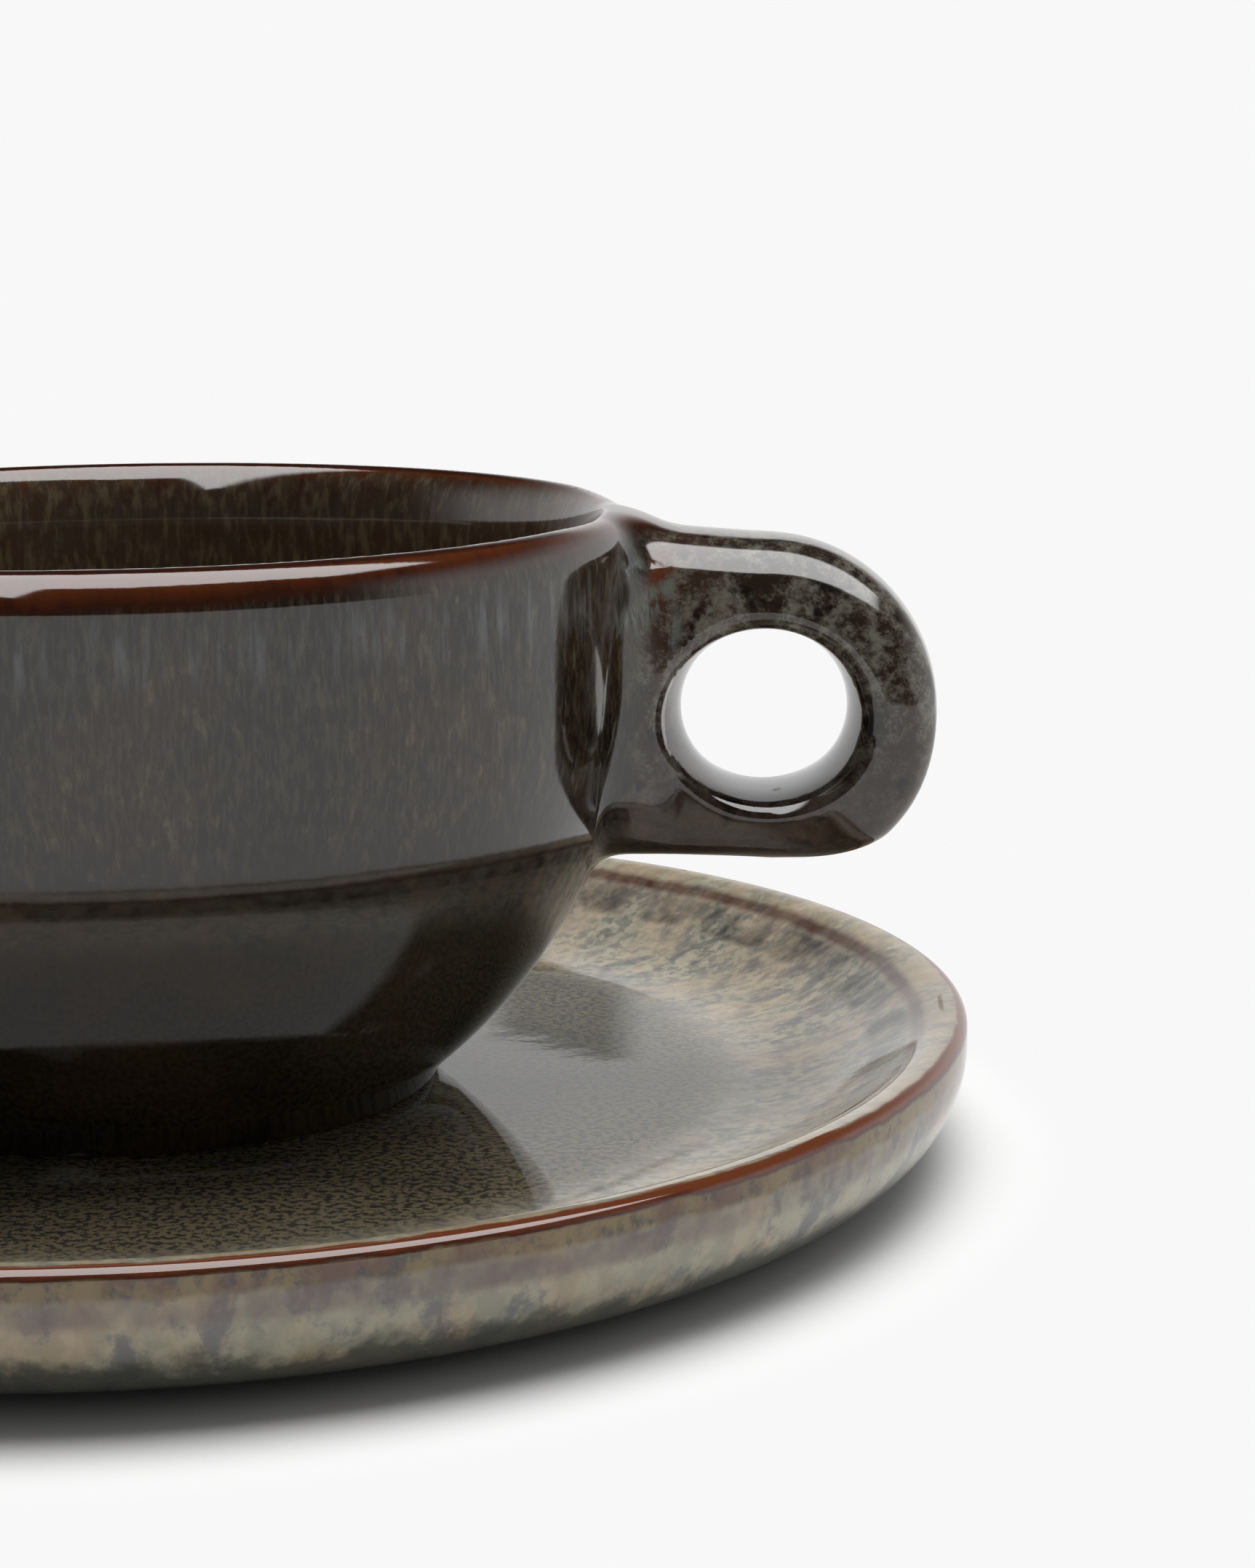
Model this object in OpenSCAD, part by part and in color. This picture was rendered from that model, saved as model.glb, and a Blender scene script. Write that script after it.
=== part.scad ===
// Cappuccino cup with a ring handle, standing on its saucer.
// Units are millimetres. +Z is up, the saucer's foot stands on z = 0 on the Z axis,
// and the handle points along +X.

/* [Saucer] */
// Outside diameter of the saucer
saucer_d = 152; // [140:0.5:180]
// Height of the saucer's rim above the table
saucer_h = 13; // [12:0.1:18]
// Height of the flat floor that the cup stands on
saucer_floor_z = 6; // [4.5:0.1:7]
// Diameter of the flat floor, inside the rising slope
saucer_floor_d = 102; // [94:0.5:116]
// Radius of the rolled shoulder on the inside of the rim
saucer_shoulder_r = 3; // [2:0.1:4]
// Radius of the outer edge of the rim
saucer_edge_r = 1.1; // [0.6:0.1:1.6]
// Radius of the round outer wall, between the rim and the underside
saucer_wall_r = 9.4; // [6:0.1:10]
// Height of the saucer's foot ring
saucer_foot_h = 1; // [0.8:0.1:1.6]
// Outside diameter of the saucer's foot ring
saucer_foot_d = 88; // [70:0.5:100]
// Width of the saucer's foot ring
saucer_foot_w = 5; // [3:0.1:8]

/* [Cup] */
// Outside diameter of the cup's wall
cup_d = 92.4; // [84:0.2:100]
// Height of the cup from its foot to its rim
cup_h = 52.2; // [50:0.1:60]
// Thickness of the wall, whose top is rolled to a round lip
cup_wall = 3.2; // [2.6:0.1:4.4]
// Radius of the round bowl below the upright wall
bowl_r = 47.2; // [44:0.1:50]
// Height above the foot where the bowl turns into the upright wall
bowl_top_z = 39; // [37.5:0.1:42]
// Height of the inside floor above the foot
cup_floor_z = 5; // [4:0.1:7]
// Radius between the inside floor and the bowl
cup_floor_r = 14; // [8:0.5:18]
// Outside diameter of the cup's foot ring
cup_foot_d = 54; // [48:0.2:57]
// Width of the cup's foot ring
cup_foot_w = 3.6; // [2.5:0.1:6]
// Depth of the hollow inside the cup's foot ring
cup_foot_hollow = 1.4; // [0.8:0.1:2.4]

/* [Handle] */
// Radius of the handle's round outline
handle_r = 15.2; // [14:0.1:16.5]
// Thickness of the handle
handle_t = 17.6; // [12:0.1:20]
// Radius of the handle's outer edges
handle_edge_r = 4.5; // [2:0.1:4.5]
// Drop from the cup's rim to the top of the handle
handle_drop = 2.7; // [2:0.1:4]
// How much of the round outline is cut off flat underneath
handle_flat = 1.9; // [0.6:0.1:2.5]
// Distance from the cup's wall to the middle of the finger hole
hole_reach = 11.4; // [9.5:0.1:14]
// Diameter of the finger hole at its waist
hole_d = 14.9; // [12:0.1:15.4]
// Radius of the rolled edges of the finger hole
hole_edge_r = 3.2; // [1:0.1:3.4]

/* [Hidden] */
$fn = 128;

// Saucer: centres of its arcs, as radius and height in the section
saucer_r = saucer_d / 2;
saucer_crest_r = saucer_r - saucer_edge_r;
saucer_under_r = saucer_r - saucer_wall_r;
saucer_wall_z = saucer_foot_h + saucer_wall_r;
saucer_floor_r = saucer_floor_d / 2;
saucer_foot_r = saucer_foot_d / 2;
shoulder_z = saucer_h - saucer_shoulder_r;
// The slope is an arc that leaves the floor level and meets the shoulder in a tangent
slope_run = saucer_crest_r - saucer_floor_r;
slope_rise = shoulder_z - saucer_floor_z;
slope_r = (slope_run ^ 2 + slope_rise ^ 2 - saucer_shoulder_r ^ 2)
          / (2 * (slope_rise + saucer_shoulder_r));
slope_share = slope_r / (slope_r + saucer_shoulder_r);
slope_end_r = saucer_floor_r + slope_run * slope_share;

// Cup: arcs in the section, with heights measured from the cup's foot
cup_r = cup_d / 2;
lip_r = cup_wall / 2;
bowl_x = cup_r - bowl_r;
hollow_r = cup_r - cup_wall;
hollow_bowl_r = bowl_r - cup_wall;
cup_foot_r = cup_foot_d / 2;
// The floor's corner arc lies inside the hollow's bowl and touches it
corner_drop = bowl_top_z - cup_floor_z - cup_floor_r;
corner_x = bowl_x + sqrt((hollow_bowl_r - cup_floor_r) ^ 2 - corner_drop ^ 2);
corner_share = hollow_bowl_r / (hollow_bowl_r - cup_floor_r);
corner_end_z = bowl_top_z - corner_drop * corner_share;

// Handle: the middle of its finger hole, in the cup's frame
hole_x = cup_r + hole_reach;
hole_z = cup_h - handle_drop - handle_r;
handle_base_z = hole_z - handle_r + handle_flat;

// How far shapes reach past the faces that they cut, and into the shapes that they join
past = 1;

// The right half of the saucer's outer shape, without the dish
module saucer_outline() {
    wall_top = saucer_h - saucer_edge_r;
    translate([0, saucer_foot_h])
        square([saucer_under_r, saucer_h - saucer_foot_h]);
    intersection() {
        translate([saucer_under_r, saucer_wall_z])
            circle(r = saucer_wall_r);
        translate([saucer_under_r - past, saucer_foot_h])
            square([saucer_wall_r + past, wall_top - saucer_foot_h]);
    }
    translate([saucer_under_r - past, saucer_wall_z])
        square([saucer_wall_r + past, wall_top - saucer_wall_z]);
    translate([saucer_under_r - past, saucer_wall_z])
        square([saucer_crest_r - saucer_under_r + past, saucer_h - saucer_wall_z]);
    translate([saucer_crest_r, wall_top])
        circle(r = saucer_edge_r);
}

// The dish: flat floor, rising slope, and the air above the rolled shoulder
module saucer_dish() {
    rise = saucer_h - saucer_floor_z + past;
    translate([0, saucer_floor_z])
        square([saucer_floor_r, rise]);
    // The slope's circle touches the shoulder's from outside, so it may reach past their meeting point
    intersection() {
        translate([saucer_floor_r, saucer_floor_z + slope_r])
            circle(r = slope_r);
        translate([saucer_floor_r, saucer_floor_z])
            square([slope_end_r - saucer_floor_r + past, rise]);
    }
    difference() {
        translate([slope_end_r, shoulder_z])
            square([saucer_r - slope_end_r, saucer_shoulder_r + past]);
        translate([saucer_crest_r, shoulder_z])
            circle(r = saucer_shoulder_r);
    }
}

module saucer() {
    color("#6b6250")
        rotate_extrude() {
            difference() {
                saucer_outline();
                saucer_dish();
            }
            translate([saucer_foot_r - saucer_foot_w, 0])
                square([saucer_foot_w, saucer_foot_h + past]);
        }
}

// The right half of the cup's outer shape, filled, with its foot at height 0
module cup_outline() {
    translate([0, bowl_top_z])
        square([cup_r, cup_h - lip_r - bowl_top_z]);
    translate([0, cup_h - cup_wall])
        square([cup_r - lip_r, cup_wall]);
    translate([cup_r - lip_r, cup_h - lip_r])
        circle(r = lip_r);
    intersection() {
        translate([bowl_x, bowl_top_z])
            circle(r = bowl_r);
        square([cup_r, bowl_top_z + past]);
    }
    square([cup_foot_r, cup_floor_z]);
}

// The right half of the space inside the cup, open at the top
module cup_hollow() {
    translate([0, bowl_top_z])
        square([hollow_r, cup_h - bowl_top_z + past]);
    translate([0, cup_h - lip_r])
        difference() {
            square([cup_r - lip_r, lip_r + past]);
            translate([cup_r - lip_r, 0])
                circle(r = lip_r);
        }
    intersection() {
        translate([bowl_x, bowl_top_z])
            circle(r = hollow_bowl_r);
        translate([0, corner_end_z])
            square([hollow_r, bowl_top_z - corner_end_z + past]);
    }
    // The corner's circle touches the bowl's from inside, so it may reach past their meeting point
    intersection() {
        translate([corner_x, cup_floor_z + cup_floor_r])
            circle(r = cup_floor_r);
        translate([corner_x - past, cup_floor_z])
            square([cup_floor_r + past, corner_end_z - cup_floor_z + past]);
    }
    translate([0, cup_floor_z])
        square([corner_x, corner_end_z - cup_floor_z + past]);
}

module cup_body() {
    color("#2a241d")
        translate([0, 0, saucer_floor_z])
            rotate_extrude()
                difference() {
                    cup_outline();
                    cup_hollow();
                    translate([0, -past])
                        square([cup_foot_r - cup_foot_w, cup_foot_hollow + past]);
                }
}

// A rectangle with its corners rounded, centred on its first side
module round_rect(width, low, high, r) {
    translate([-width / 2, low + r])
        square([width, high - low - 2 * r]);
    translate([-width / 2 + r, low])
        square([width - 2 * r, high - low]);
    for (side = [-1, 1], y = [low + r, high - r])
        translate([side * (width / 2 - r), y])
            circle(r = r);
}

// A bar along +X from the cup's axis, with a rounded section
module round_bar(len, low, high) {
    rotate([90, 0, 90])
        linear_extrude(len)
            round_rect(handle_t, low, high, handle_edge_r);
}

// The round end of the handle: a thick disc with rounded edges, its axis along Y
module handle_disc() {
    translate([hole_x, 0, hole_z])
        rotate([90, 0, 0])
            rotate_extrude()
                intersection() {
                    rotate(90)
                        round_rect(handle_t, -handle_r, handle_r, handle_edge_r);
                    translate([0, -handle_t])
                        square([handle_r, 2 * handle_t]);
                }
}

// The finger hole as a solid: a waist that flares out round both faces
module finger_hole() {
    mouth_r = hole_d / 2 + hole_edge_r;
    waist_half = handle_t / 2 - hole_edge_r;
    translate([hole_x, 0, hole_z])
        rotate([90, 0, 0])
            rotate_extrude()
                difference() {
                    translate([0, -handle_t / 2 - past])
                        square([mouth_r, handle_t + 2 * past]);
                    translate([hole_d / 2, -waist_half])
                        square([hole_edge_r, 2 * waist_half]);
                    for (side = [-1, 1])
                        translate([mouth_r, side * waist_half])
                            circle(r = hole_edge_r);
                }
}

module cup_handle() {
    reach = hole_x + handle_r + past;
    color("#3a332b")
        translate([0, 0, saucer_floor_z])
            difference() {
                intersection() {
                    union() {
                        handle_disc();
                        round_bar(hole_x, hole_z - handle_r, hole_z + handle_r);
                    }
                    round_bar(reach, handle_base_z, cup_h + handle_r);
                }
                rotate_extrude()
                    cup_outline();
                finger_hole();
            }
}

saucer();
cup_body();
cup_handle();
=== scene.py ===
"""Dresses the cappuccino cup and its saucer in their reactive stoneware glaze.

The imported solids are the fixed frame. The cup is one glazed form with its handle grown into the
wall, drawn as a smooth distance field and meshed here. The saucer is turned from its section.
Lengths in the forms are millimetres, and Blender's objects are in metres.
"""

import itertools
import logging
import math
from dataclasses import dataclass, field
from enum import Enum
from typing import Any, Callable

import bpy
import numpy as np
from mathutils import Matrix, Vector

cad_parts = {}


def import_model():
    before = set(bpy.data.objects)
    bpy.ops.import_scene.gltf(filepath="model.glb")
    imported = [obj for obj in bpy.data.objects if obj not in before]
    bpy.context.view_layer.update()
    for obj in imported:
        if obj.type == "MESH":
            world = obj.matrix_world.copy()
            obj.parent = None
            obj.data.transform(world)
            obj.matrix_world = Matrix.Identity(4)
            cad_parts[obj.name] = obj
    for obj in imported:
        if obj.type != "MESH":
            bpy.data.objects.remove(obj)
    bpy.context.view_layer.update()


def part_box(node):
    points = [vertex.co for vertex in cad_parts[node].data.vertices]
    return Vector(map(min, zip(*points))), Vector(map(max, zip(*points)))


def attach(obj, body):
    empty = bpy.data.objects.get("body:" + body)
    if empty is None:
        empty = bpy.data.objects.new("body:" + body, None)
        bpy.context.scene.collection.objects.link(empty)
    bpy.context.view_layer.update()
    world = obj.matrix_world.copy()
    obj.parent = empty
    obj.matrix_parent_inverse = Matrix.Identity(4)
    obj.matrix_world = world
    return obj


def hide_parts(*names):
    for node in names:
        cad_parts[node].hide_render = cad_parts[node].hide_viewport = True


LOG = logging.getLogger("cup_scene")
MM = 0.001
TINY = 1e-9

Colour = tuple[float, float, float, float]
Array = np.ndarray
Form = Callable[[Array], Array]
Socket = bpy.types.NodeSocket

WHITE: Colour = (1.0, 1.0, 1.0, 1.0)


class Body(Enum):
    """The moving bodies of the part."""

    SAUCER = "saucer"
    CUP = "cup"


class Slot(Enum):
    """The names of the record's material slots."""

    SAUCER = "saucer_glaze"
    CUP = "cup_glaze"


def srgb(red: int, green: int, blue: int) -> Colour:
    """Turn a display colour into the linear colour that shaders use.

    Args:
        red: Red, 0 to 255.
        green: Green, 0 to 255.
        blue: Blue, 0 to 255.

    Returns:
        The linear colour with full opacity.
    """
    linear = [
        c / 12.92 if c <= 0.04045 else ((c + 0.055) / 1.055) ** 2.4
        for c in (red / 255.0, green / 255.0, blue / 255.0)
    ]
    return (linear[0], linear[1], linear[2], 1.0)


def smooth_min(a: Array, b: Array, reach: float | Array) -> Array:
    """Join two distance fields with a soft fillet.

    Args:
        a: First field.
        b: Second field.
        reach: Width of the blend in millimetres.

    Returns:
        The joined field.
    """
    blend = np.maximum(reach - np.abs(a - b), 0.0) / reach
    return np.minimum(a, b) - blend * blend * reach * 0.25


def smooth_max(a: Array, b: Array, reach: float | Array) -> Array:
    """Keep what two distance fields share, with a soft edge as wide as reach."""
    return -smooth_min(-a, -b, reach)


def round_max(a: Array, b: Array, radius: float | Array) -> Array:
    """Keep what two distance fields share, with a circular edge of the given radius."""
    corner = np.hypot(np.maximum(a + radius, 0.0), np.maximum(b + radius, 0.0))
    return np.minimum(np.maximum(a, b), -radius) + corner


def ease(value: Array, low: float, high: float) -> Array:
    """Rise smoothly from 0 at low to 1 at high."""
    t = np.clip((value - low) / (high - low), 0.0, 1.0)
    return t * t * (3.0 - 2.0 * t)


def ellipse(across: Array, up: Array, wide: float, tall: float) -> Array:
    """Estimate the distance from an ellipse.

    Args:
        across: Distance from the centre along the first half axis.
        up: Distance from the centre along the second half axis.
        wide: First half axis in millimetres.
        tall: Second half axis in millimetres.

    Returns:
        The distances, negative inside.
    """
    near = np.hypot(across / wide, up / tall)
    steep = np.hypot(across / wide ** 2, up / tall ** 2)
    return near * (near - 1.0) / np.maximum(steep, TINY)


def gradient(form: Form, points: Array, step: float = 0.02) -> Array:
    """Take the outward direction of a form at each point.

    Args:
        form: The form's distance field.
        points: Points as rows.
        step: Half the span of the difference, in millimetres.

    Returns:
        Unit directions as rows.
    """
    rises = [form(points + shift) - form(points - shift) for shift in np.eye(3) * step]
    slope = np.stack(rises, axis=1)
    return slope / np.maximum(np.linalg.norm(slope, axis=1, keepdims=True), TINY)


def bend(form: Form, points: Array, step: float) -> Array:
    """Measure how sharply a surface bends outwards.

    Args:
        form: The form's distance field.
        points: Points on the surface.
        step: Distance over which the bend is felt, in millimetres.

    Returns:
        The summed curvature, positive on edges and negative in hollows.
    """
    total = -6.0 * form(points)
    for shift in np.eye(3) * step:
        total += form(points + shift) + form(points - shift)
    return total / (step * step)


@dataclass(frozen=True)
class SurfaceNet:
    """Meshes the zero surface of a distance field as even quads.

    Attributes:
        low: Lowest corner of the sampled box, in millimetres.
        high: Highest corner of the sampled box.
        pitch: Spacing of the samples.
        passes: Rounds of evening out the points on the surface.
        pull: Share of the way to its neighbours' middle that a point moves in one round.
    """

    low: tuple[float, float, float]
    high: tuple[float, float, float]
    pitch: float = 0.6
    passes: int = 4
    pull: float = 0.6

    def mesh(self, form: Form) -> tuple[Array, Array]:
        """Sample the field, place one point in each crossed cell and join the cells.

        Args:
            form: Field that takes points as rows and is negative inside the form.

        Returns:
            The points in millimetres, and the quads as rows of four indices.
        """
        axes = [np.arange(a, b + self.pitch, self.pitch) for a, b in zip(self.low, self.high)]
        shape = tuple(len(a) for a in axes)
        grid = np.stack(np.meshgrid(*axes, indexing="ij"), axis=-1)
        values = form(grid.reshape(-1, 3)).reshape(shape)
        inside = values < 0.0
        count = np.zeros(tuple(n - 1 for n in shape), dtype=np.int8)
        for i, j, k in itertools.product((0, 1), repeat=3):
            count += inside[i:shape[0] - 1 + i, j:shape[1] - 1 + j, k:shape[2] - 1 + k]
        crossed = (count > 0) & (count < 8)
        index = np.full(crossed.shape, -1, dtype=np.int64)
        index[crossed] = np.arange(int(crossed.sum()))
        total = np.zeros((int(crossed.sum()), 4))
        quads = [self._cross(axis, values, inside, index, total) for axis in range(3)]
        faces = np.concatenate(quads)
        points = np.array(self.low) + self.pitch * total[:, :3] / total[:, 3:]
        return self._even(points, faces, form), faces

    def _cross(self, axis: int, values: Array, inside: Array, index: Array, total: Array) -> Array:
        """Find the grid edges along one axis that cross the surface.

        Args:
            axis: Axis of the edges.
            values: Field at the grid points.
            inside: Where the field is negative.
            index: Number of each crossed cell's point.
            total: Sum of crossings and their count for each point, added to in place.

        Returns:
            One quad for each crossed edge.
        """
        first = np.moveaxis(values, axis, 0)
        flag = np.moveaxis(inside, axis, 0)
        hit = np.argwhere(flag[:-1] != flag[1:])
        a, b = first[:-1][tuple(hit.T)], first[1:][tuple(hit.T)]
        cell = np.empty_like(hit)
        cell[:, [axis, *(n for n in range(3) if n != axis)]] = hit
        place = cell.astype(float)
        place[:, axis] += a / (a - b)
        ring: list[Array] = []
        for step in ((0, 0), (-1, 0), (-1, -1), (0, -1)):
            near = cell.copy()
            near[:, [(axis + 1) % 3, (axis + 2) % 3]] += np.array(step)
            number = index[tuple(near.T)]
            for column in range(3):
                total[:, column] += np.bincount(number, place[:, column], len(total))
            total[:, 3] += np.bincount(number, minlength=len(total))
            ring.append(number)
        quad = np.stack(ring, axis=1)
        enters = flag[1:][tuple(hit.T)]
        quad[enters] = quad[enters][:, ::-1]
        return quad

    def _even(self, points: Array, faces: Array, form: Form) -> Array:
        """Slide the points along the surface until they are evenly spaced.

        Args:
            points: Points near the surface.
            faces: Quads that join them.
            form: Field whose zero surface they belong on.

        Returns:
            The points on the surface.
        """
        edges = np.concatenate([faces[:, [k, (k + 1) % 4]] for k in range(4)])
        ends, starts = edges.T.reshape(-1), edges[:, ::-1].T.reshape(-1)
        degree = np.bincount(ends, minlength=len(points))[:, None]
        for _ in range(self.passes):
            sums = [np.bincount(ends, points[starts, c], len(points)) for c in range(3)]
            move = self.pull * (np.stack(sums, axis=1) / degree - points)
            normal = gradient(form, points)
            points = points + move - normal * np.sum(move * normal, axis=1, keepdims=True)
            for _ in range(2):
                normal = gradient(form, points)
                points = points - normal * form(points)[:, None]
        return points


def add_object(name: str, data: bpy.types.ID) -> bpy.types.Object:
    """Make an object from its data and link it to the scene.

    Args:
        name: Name of the object.
        data: Its mesh, lamp or camera.

    Returns:
        The new object.
    """
    thing = bpy.data.objects.new(name, data)
    bpy.context.scene.collection.objects.link(thing)
    return thing


def add_piece(
    name: str, points: Array, faces: Array, normals: Array, marks: dict[str, Array]
) -> bpy.types.Object:
    """Make a smooth mesh object and store its masks on the points.

    Args:
        name: Name of the piece.
        points: Points in millimetres.
        faces: Rows of point numbers, with -1 in the last column of a triangle.
        normals: Outward directions at the points.
        marks: Named values at the points, for the glaze to read.

    Returns:
        The new object, linked to the scene.
    """
    mesh = bpy.data.meshes.new(name)
    rows = [[int(i) for i in row if i >= 0] for row in faces]
    mesh.from_pydata((points * MM).tolist(), [], rows)
    mesh.polygons.foreach_set("use_smooth", np.ones(len(rows), dtype=bool))
    for key, values in marks.items():
        layer = mesh.attributes.new(key, "FLOAT", "POINT")
        layer.data.foreach_set("value", np.asarray(values, dtype=np.float32))
    mesh.update()
    mesh.normals_split_custom_set_from_vertices(normals.tolist())
    return add_object(name, mesh)


class NodeSheet:
    """A node tree that is written from its sources to its output."""

    def __init__(self, tree: bpy.types.NodeTree) -> None:
        """Keep the tree that the nodes go into."""
        self.tree = tree

    def add(
        self, kind: str, values: dict[Any, Any] | None = None, **settings: Any
    ) -> bpy.types.Node:
        """Add a node and feed its inputs.

        Args:
            kind: Blender's name of the node type.
            values: Values or sockets, by the input's name or number. None leaves an input alone.
            **settings: Properties to set on the node.

        Returns:
            The new node.
        """
        node = self.tree.nodes.new(kind)
        for key, value in settings.items():
            setattr(node, key, value)
        for key, value in (values or {}).items():
            if isinstance(value, bpy.types.NodeSocket):
                self.tree.links.new(value, node.inputs[key])
            elif value is not None:
                node.inputs[key].default_value = value
        return node

    def math(
        self, operation: str, a: Any, b: Any = None, c: Any = None, clamp: bool = False
    ) -> Socket:
        """Add a maths node, whose result may be kept between 0 and 1."""
        values = {0: a, 1: b, 2: c}
        return self.add("ShaderNodeMath", values, operation=operation, use_clamp=clamp).outputs[0]

    def times(self, a: Any, b: Any) -> Socket:
        """Multiply two values."""
        return self.math("MULTIPLY", a, b)

    def ramp(self, value: Any, gain: Any, base: Any) -> Socket:
        """Scale a value and add a base to it."""
        return self.math("MULTIPLY_ADD", value, gain, base)

    def minus(self, a: Any, b: Any) -> Socket:
        """Take the second value from the first."""
        return self.math("SUBTRACT", a, b)

    def flip(self, mask: Any) -> Socket:
        """Turn a mask into its opposite."""
        return self.minus(1.0, mask)

    def ease(self, value: Any, low: Any, high: Any) -> Socket:
        """Add a smooth step from 0 at low to 1 at high."""
        values = {"Value": value, "From Min": low, "From Max": high}
        return self.add("ShaderNodeMapRange", values, interpolation_type="SMOOTHSTEP").outputs[0]

    def band(self, value: Socket, low: float, high: float, soft: float) -> Socket:
        """Mask the values between two limits, with soft edges.

        Args:
            value: The value to test.
            low: Lower limit.
            high: Upper limit.
            soft: Width of each edge.

        Returns:
            The mask.
        """
        half = 0.5 * soft
        rise, fall = (self.ease(value, limit - half, limit + half) for limit in (low, high))
        return self.minus(rise, fall)

    def mix(self, share: Any, a: Any, b: Any, blend: str = "MIX") -> Socket:
        """Mix two colours, with share as the part of the second."""
        values = {0: share, 6: a, 7: b}
        return self.add("ShaderNodeMix", values, data_type="RGBA", blend_type=blend).outputs[2]

    def mix_shaders(self, share: Any, a: Socket, b: Socket) -> Socket:
        """Mix two shaders, with share as the part of the second."""
        return self.add("ShaderNodeMixShader", {0: share, 1: a, 2: b}).outputs[0]

    def noise(self, vector: Socket, scale: Any, detail: Any = 2.0, rough: float = 0.5) -> Socket:
        """Read noise with scale waves in a metre, from 0 to 1 and about 0.5 on average."""
        values = {"Vector": vector, "Scale": scale, "Detail": detail, "Roughness": rough}
        return self.add("ShaderNodeTexNoise", values).outputs[0]

    def mark(self, name: str) -> Socket:
        """Read a value that the mesh stores on its points."""
        return self.add("ShaderNodeAttribute", attribute_name=name).outputs["Fac"]

    def axes(self, vector: Socket) -> list[Socket]:
        """Split a vector into its three parts."""
        return list(self.add("ShaderNodeSeparateXYZ", {0: vector}).outputs)

    def stretch(self, vector: Socket, by: Any) -> Socket:
        """Scale a vector along each axis."""
        return self.add("ShaderNodeVectorMath", {0: vector, 1: by}, operation="MULTIPLY").outputs[0]

    def turned(self, vector: Socket, radius: float, along: Socket, run: float) -> Socket:
        """Wrap a vector round the upright axis, so that noise on it runs along a turned section.

        Args:
            vector: The object's coordinates.
            radius: Radius in metres that the vector is wrapped on.
            along: Distance along the section in millimetres.
            run: How much of that distance counts, less than 1 for drawn-out noise.

        Returns:
            The wrapped vector.
        """
        level = self.stretch(vector, (1.0, 1.0, 0.0))
        flat = self.add("ShaderNodeVectorMath", {0: level}, operation="NORMALIZE").outputs[0]
        x, y, _ = self.axes(self.stretch(flat, (radius, radius, 0.0)))
        up = self.times(along, run * MM)
        return self.add("ShaderNodeCombineXYZ", {0: x, 1: y, 2: up}).outputs[0]


@dataclass
class GlazeEffects:
    """The shader groups that the glazes share.

    Attributes:
        flecks: Crystals that float in the glaze.
        skin: The glossy skin with its pinholes.
    """

    flecks: bpy.types.NodeTree = field(init=False)
    skin: bpy.types.NodeTree = field(init=False)

    def __post_init__(self) -> None:
        """Build the groups."""
        self.flecks = self._flecks()
        self.skin = self._skin()

    @staticmethod
    def _open(
        name: str, inputs: dict[str, float], outputs: tuple[str, ...]
    ) -> tuple[NodeSheet, Any]:
        """Start a group that reads a vector, and give it named sockets.

        Args:
            name: Name of the group.
            inputs: Names of the other inputs, with their default numbers.
            outputs: Names of the outputs, all single values.

        Returns:
            The group's sheet, and the sockets of its inputs.
        """
        tree = bpy.data.node_groups.new(name, "ShaderNodeTree")
        new_socket = tree.interface.new_socket
        new_socket(name="Vector", in_out="INPUT", socket_type="NodeSocketVector")
        for key, value in inputs.items():
            item = new_socket(name=key, in_out="INPUT", socket_type="NodeSocketFloat")
            item.default_value = value
        for key in outputs:
            new_socket(name=key, in_out="OUTPUT", socket_type="NodeSocketFloat")
        sheet = NodeSheet(tree)
        return sheet, sheet.add("NodeGroupInput").outputs

    def _flecks(self) -> bpy.types.NodeTree:
        """Build crystals that float in the glaze, drawn out where it ran.

        Returns:
            A group from place, scale and run to a mask.
        """
        inputs = {"Scale": 1500.0, "Run": 0.25, "Low": 0.52, "High": 0.62, "Detail": 2.0}
        sheet, given = self._open("glaze_flecks", inputs, ("Mask",))
        squeeze = sheet.add("ShaderNodeCombineXYZ", {0: 1.0, 1: 1.0, 2: given["Run"]}).outputs[0]
        place = sheet.stretch(given["Vector"], squeeze)
        grain = sheet.noise(place, given["Scale"], given["Detail"], 0.55)
        sheet.add("NodeGroupOutput", {"Mask": sheet.ease(grain, given["Low"], given["High"])})
        return sheet.tree

    def _skin(self) -> bpy.types.NodeTree:
        """Build the glossy skin: long ripples, a fine dimpled skin and burst pinholes.

        Returns:
            A group from place to a height and a mask of pinholes.
        """
        inputs = {"Ripple": 1.0, "Dimple": 0.12, "Pores": 1.0}
        sheet, given = self._open("glaze_skin", inputs, ("Height", "Pore"))
        vector = given["Vector"]
        ripple = sheet.noise(vector, 110.0, 2.0, 0.45)
        dimple = sheet.noise(vector, 900.0, 2.0, 0.5)
        grid = {"Vector": vector, "Scale": 260.0}
        cells = sheet.add("ShaderNodeTexVoronoi", grid, feature="F1").outputs
        pick = sheet.add("ShaderNodeSeparateColor", {0: cells["Color"]}).outputs[0]
        dot = sheet.flip(sheet.ease(cells["Distance"], 0.025, 0.075))
        pore = sheet.times(sheet.times(sheet.ease(pick, 0.86, 0.87), dot), given["Pores"])
        height = sheet.times(ripple, given["Ripple"])
        height = sheet.ramp(dimple, given["Dimple"], height)
        sheet.add("NodeGroupOutput", {"Height": sheet.ramp(pore, -0.5, height), "Pore": pore})
        return sheet.tree


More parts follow.
